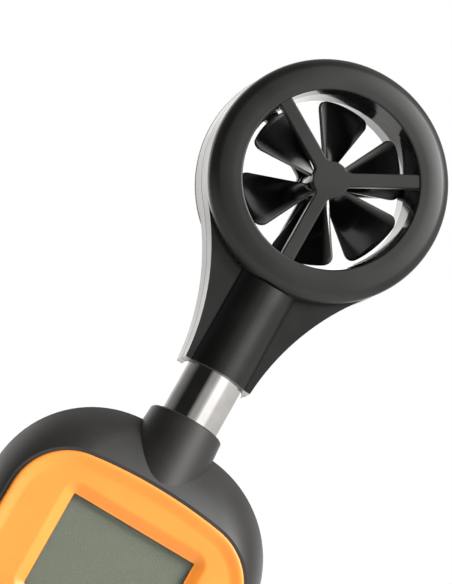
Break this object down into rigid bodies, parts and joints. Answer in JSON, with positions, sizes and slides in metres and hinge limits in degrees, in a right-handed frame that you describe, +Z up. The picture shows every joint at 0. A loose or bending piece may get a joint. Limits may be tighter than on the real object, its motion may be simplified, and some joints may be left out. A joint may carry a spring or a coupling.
{
  "type": "vane anemometer",
  "caption": "Handheld vane anemometer: guarded impeller ring on a swivelling bright tube above a pocket body with display, keys and battery door.",
  "frame": {"origin": "on the flat bottom end, under the middle of the object", "axes": "+Z up the long axis from the body to the impeller ring, -Y out of the display and keys, +X to the right seen from the display's side"},
  "size_m": [0.0718, 0.0253, 0.2249],
  "materials": {
    "case_black": "fine satin texture, moulded",
    "head_black": "satin moulded plastic",
    "impeller_black": "smooth moulded plastic",
    "plate_orange": "satin painted plastic",
    "tube_chrome": "polished chrome plate",
    "bush_plastic": "plain bearing plastic",
    "window_clear": "clear window",
    "display_glass": "grey-green display",
    "white_plastic": "white moulded frame",
    "key_rubber": "soft matt",
    "mat_rubber": "translucent silicone",
    "board_green": "solder mask",
    "chip_black": "moulded",
    "steel": "zinc plated",
    "brass": "turned",
    "cell_wrap": "printed wrap",
    "cable_grey": "sheath",
    "magnet_dark": "ferrite",
    "zebra_pink": "layered rubber"
  },
  "bodies": {
    "body": {"front_case": "case_black", "rear_case": "case_black", "swivel_bush": "bush_plastic", "faceplate": "plate_orange", "lcd_lens": "window_clear", "lcd_glass": "display_glass", "lcd_holder": "white_plastic", "zebra_strip": "zebra_pink", "main_board": "board_green", "board_chip": "chip_black", "buzzer": "chip_black", "cable_plug": "white_plastic", "sensor_cable": "cable_grey", "board_screws": "steel", "case_screws": "steel", "keypad_mat": "mat_rubber", "battery_cells": "cell_wrap", "battery_springs": "steel", "battery_contacts": "steel", "tripod_insert": "brass"},
    "head": {"front_guard": "head_black", "rear_guard": "head_black", "head_front_shell": "head_black", "head_rear_shell": "head_black", "front_bearing": "brass", "rear_bearing": "brass", "head_screws": "steel", "pickup_board": "board_green", "hall_pickup": "chip_black", "swivel_tube": "tube_chrome", "stop_collar": "steel"},
    "rotor": {"impeller": "impeller_black", "impeller_shaft": "steel", "hub_magnet": "magnet_dark"},
    "door": {"battery_door": "case_black", "door_screw": "steel"},
    "key_mode": {"key_mode": "key_rubber"},
    "key_units": {"key_units": "key_rubber"},
    "key_max": {"key_max": "key_rubber"},
    "key_hold": {"key_hold": "key_rubber"},
    "key_power": {"key_power": "key_rubber"}
  },
  "joints": [
    {"name": "head_swivel", "type": "hinge", "parent": "body", "child": "head", "pos_m": [0, 0, 0.128], "axis": [0, 0, 1], "range_deg": [-90, 180]},
    {"name": "impeller_spin", "type": "hinge", "parent": "head", "child": "rotor", "pos_m": [0, 0, 0.1953], "axis": [0, 1, 0], "continuous": true},
    {"name": "door_lift", "type": "slide", "parent": "body", "child": "door", "axis": [0, 1, 0], "range_m": [0, 0.02]},
    {"name": "key_mode_press", "type": "slide", "parent": "body", "child": "key_mode", "axis": [0, 1, 0], "range_m": [0, 0.0008], "stiffness_N_per_m": 1200},
    {"name": "key_units_press", "type": "slide", "parent": "body", "child": "key_units", "axis": [0, 1, 0], "range_m": [0, 0.0008], "stiffness_N_per_m": 1200},
    {"name": "key_max_press", "type": "slide", "parent": "body", "child": "key_max", "axis": [0, 1, 0], "range_m": [0, 0.0008], "stiffness_N_per_m": 1200},
    {"name": "key_hold_press", "type": "slide", "parent": "body", "child": "key_hold", "axis": [0, 1, 0], "range_m": [0, 0.0008], "stiffness_N_per_m": 1200},
    {"name": "key_power_press", "type": "slide", "parent": "body", "child": "key_power", "axis": [0, 1, 0], "range_m": [0, 0.0008], "stiffness_N_per_m": 1200}
  ]
}
